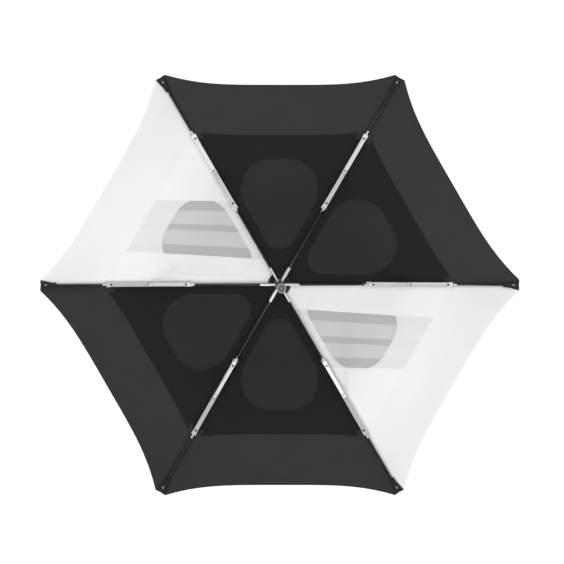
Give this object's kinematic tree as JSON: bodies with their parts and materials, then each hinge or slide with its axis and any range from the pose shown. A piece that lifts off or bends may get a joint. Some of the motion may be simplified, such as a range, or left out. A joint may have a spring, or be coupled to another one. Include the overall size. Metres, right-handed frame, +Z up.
{
  "type": "golf umbrella",
  "caption": "Open golf umbrella with a double vented canopy, channelled ribs and stretchers, sliding runner and straight grip.",
  "frame": {"origin": "centre of the flat lower end of the handle", "axes": "+Z up the shaft towards the crown; +X along rib 1; the push button faces +Y"},
  "size_m": [1.4606, 1.2756, 1.0512],
  "materials": {
    "shaft_black": "satin black fibreglass",
    "black_plastic": "fine moulded black",
    "spring_steel": "bright wire",
    "rosette_cloth": "pinked black cloth",
    "grip_rubber": "soft black rubber",
    "handle_grey": "satin grey",
    "disc_black": "black end plate",
    "black_fibreglass": "glossy black rod",
    "silver_alloy": "satin silver",
    "pocket_cloth": "close black webbing",
    "canopy_black": "tight plain weave",
    "canopy_white": "tight plain weave"
  },
  "bodies": {
    "root": {"shaft_tube": "shaft_black", "crown_notch": "black_plastic", "crown_pins": "spring_steel", "top_ferrule": "black_plastic", "cap_washer": "black_plastic", "inner_rosette": "rosette_cloth", "handle_core": "black_plastic", "handle_grip": "grip_rubber", "handle_end_ring": "handle_grey", "handle_end_disc": "disc_black", "opening_spring": "spring_steel", "spring_plug": "black_plastic", "button_spring": "spring_steel"},
    "button": {"open_button": "handle_grey", "catch_finger": "spring_steel"},
    "runner": {"runner_sleeve": "black_plastic", "runner_pins": "spring_steel"},
    "rib_1": {"rib_rods_1": "black_fibreglass", "rib_channel_1": "silver_alloy", "tip_pocket_1": "pocket_cloth", "canopy_lower_1": "canopy_white", "canopy_upper_1": "canopy_white"},
    "stretcher_1": {"stretcher_rod_1": "black_fibreglass", "stretcher_channel_1": "silver_alloy"},
    "rib_2": {"rib_rods_2": "black_fibreglass", "rib_channel_2": "silver_alloy", "tip_pocket_2": "pocket_cloth", "canopy_lower_2": "canopy_black", "canopy_upper_2": "canopy_black"},
    "stretcher_2": {"stretcher_rod_2": "black_fibreglass", "stretcher_channel_2": "silver_alloy"},
    "rib_3": {"rib_rods_3": "black_fibreglass", "rib_channel_3": "silver_alloy", "tip_pocket_3": "pocket_cloth", "canopy_lower_3": "canopy_black", "canopy_upper_3": "canopy_black"},
    "stretcher_3": {"stretcher_rod_3": "black_fibreglass", "stretcher_channel_3": "silver_alloy"},
    "rib_4": {"rib_rods_4": "black_fibreglass", "rib_channel_4": "silver_alloy", "tip_pocket_4": "pocket_cloth", "canopy_lower_4": "canopy_white", "canopy_upper_4": "canopy_white"},
    "stretcher_4": {"stretcher_rod_4": "black_fibreglass", "stretcher_channel_4": "silver_alloy"},
    "rib_5": {"rib_rods_5": "black_fibreglass", "rib_channel_5": "silver_alloy", "tip_pocket_5": "pocket_cloth", "canopy_lower_5": "canopy_black", "canopy_upper_5": "canopy_black"},
    "stretcher_5": {"stretcher_rod_5": "black_fibreglass", "stretcher_channel_5": "silver_alloy"},
    "rib_6": {"rib_rods_6": "black_fibreglass", "rib_channel_6": "silver_alloy", "tip_pocket_6": "pocket_cloth", "canopy_lower_6": "canopy_black", "canopy_upper_6": "canopy_black"},
    "stretcher_6": {"stretcher_rod_6": "black_fibreglass", "stretcher_channel_6": "silver_alloy"}
  },
  "joints": [
    {"name": "fold_1", "type": "hinge", "parent": "root", "child": "rib_1", "pos_m": [0.014, 0, 1], "axis": [0, 1, 0], "range_deg": [0, 64], "stiffness_Nm_per_rad": 2, "springref_deg": -68.75, "deforming": ["canopy_lower_1", "canopy_upper_1"]},
    {"name": "fold_2", "type": "hinge", "parent": "root", "child": "rib_2", "pos_m": [0.007, 0.01212, 1], "axis": [-0.866, 0.5, 0], "range_deg": [0, 64], "deforming": ["canopy_lower_2", "canopy_upper_2"]},
    {"name": "fold_3", "type": "hinge", "parent": "root", "child": "rib_3", "pos_m": [-0.007, 0.01212, 1], "axis": [-0.866, -0.5, 0], "range_deg": [0, 64], "deforming": ["canopy_lower_3", "canopy_upper_3"]},
    {"name": "fold_4", "type": "hinge", "parent": "root", "child": "rib_4", "pos_m": [-0.014, 0, 1], "axis": [0, -1, 0], "range_deg": [0, 64], "deforming": ["canopy_lower_4", "canopy_upper_4"]},
    {"name": "fold_5", "type": "hinge", "parent": "root", "child": "rib_5", "pos_m": [-0.007, -0.01212, 1], "axis": [0.866, -0.5, 0], "range_deg": [0, 64], "deforming": ["canopy_lower_5", "canopy_upper_5"]},
    {"name": "fold_6", "type": "hinge", "parent": "root", "child": "rib_6", "pos_m": [0.007, -0.01212, 1], "axis": [0.866, 0.5, 0], "range_deg": [0, 64], "deforming": ["canopy_lower_6", "canopy_upper_6"]},
    {"name": "stretcher_swing_1", "type": "hinge", "parent": "rib_1", "child": "stretcher_1", "pos_m": [0.407, 0, 0.86791], "axis": [0, 1, 0], "range_deg": [-128, 0]},
    {"name": "stretcher_swing_2", "type": "hinge", "parent": "rib_2", "child": "stretcher_2", "pos_m": [0.2035, 0.35247, 0.86791], "axis": [-0.866, 0.5, 0], "range_deg": [-128, 0]},
    {"name": "stretcher_swing_3", "type": "hinge", "parent": "rib_3", "child": "stretcher_3", "pos_m": [-0.2035, 0.35247, 0.86791], "axis": [-0.866, -0.5, 0], "range_deg": [-128, 0]},
    {"name": "stretcher_swing_4", "type": "hinge", "parent": "rib_4", "child": "stretcher_4", "pos_m": [-0.407, 0, 0.86791], "axis": [0, -1, 0], "range_deg": [-128, 0]},
    {"name": "stretcher_swing_5", "type": "hinge", "parent": "rib_5", "child": "stretcher_5", "pos_m": [-0.2035, -0.35247, 0.86791], "axis": [0.866, -0.5, 0], "range_deg": [-128, 0]},
    {"name": "stretcher_swing_6", "type": "hinge", "parent": "rib_6", "child": "stretcher_6", "pos_m": [0.2035, -0.35247, 0.86791], "axis": [0.866, 0.5, 0], "range_deg": [-128, 0]},
    {"name": "runner_level", "type": "hinge", "parent": "stretcher_1", "child": "runner", "pos_m": [0.014, 0, 0.73582], "axis": [0, 1, 0], "range_deg": [0, 64]},
    {"name": "button_press", "type": "slide", "parent": "root", "child": "button", "axis": [0, -1, 0], "range_m": [0, 0.0022], "stiffness_N_per_m": 900, "springref_m": -0.0015, "deforming": ["button_spring"]}
  ],
  "couplings": [
    {"joint": "fold_2", "follows": "fold_1", "ratio": 1},
    {"joint": "fold_3", "follows": "fold_1", "ratio": 1},
    {"joint": "fold_4", "follows": "fold_1", "ratio": 1},
    {"joint": "fold_5", "follows": "fold_1", "ratio": 1},
    {"joint": "fold_6", "follows": "fold_1", "ratio": 1},
    {"joint": "stretcher_swing_1", "follows": "fold_1", "ratio": -2},
    {"joint": "stretcher_swing_2", "follows": "fold_1", "ratio": -2},
    {"joint": "stretcher_swing_3", "follows": "fold_1", "ratio": -2},
    {"joint": "stretcher_swing_4", "follows": "fold_1", "ratio": -2},
    {"joint": "stretcher_swing_5", "follows": "fold_1", "ratio": -2},
    {"joint": "stretcher_swing_6", "follows": "fold_1", "ratio": -2},
    {"joint": "runner_level", "follows": "fold_1", "ratio": 1}
  ]
}
